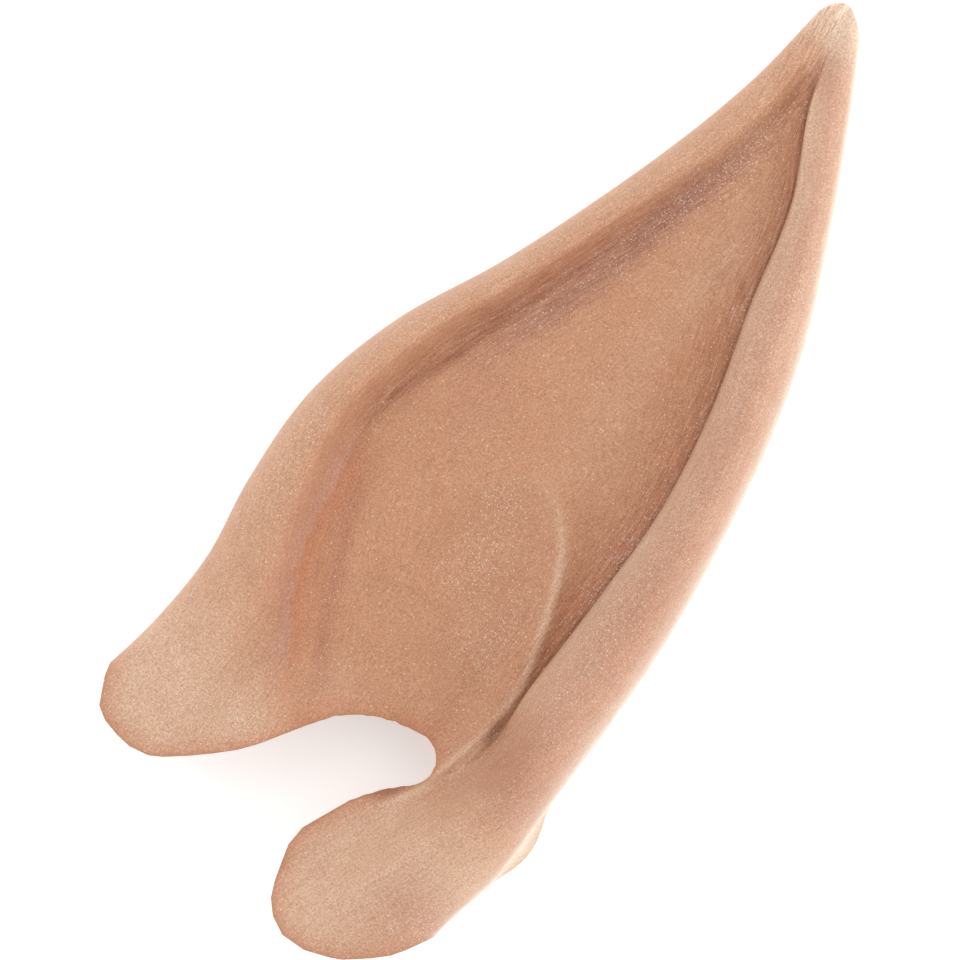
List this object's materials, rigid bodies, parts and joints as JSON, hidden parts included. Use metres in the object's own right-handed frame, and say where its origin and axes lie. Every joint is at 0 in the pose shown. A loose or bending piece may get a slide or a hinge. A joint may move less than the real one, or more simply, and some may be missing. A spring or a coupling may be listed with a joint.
{
  "type": "pointed fairy ear cap, left ear",
  "caption": "Pointed latex ear cap that slips over a wearer's left ear: sculpted face with rolled rims, hollow pocket and notched lower end.",
  "frame": {"origin": "middle of the ear's footprint, on the surface that it lies on", "axes": "+Y along the ear to its pointed tip, +X to its rear rim, +Z out of its sculpted face"},
  "size_m": [0.052, 0.125, 0.0203],
  "materials": {
    "latex_skin": "matt skin-coloured latex, softly mottled"
  },
  "bodies": {
    "root": {"ear_shell": "latex_skin"}
  },
  "joints": []
}
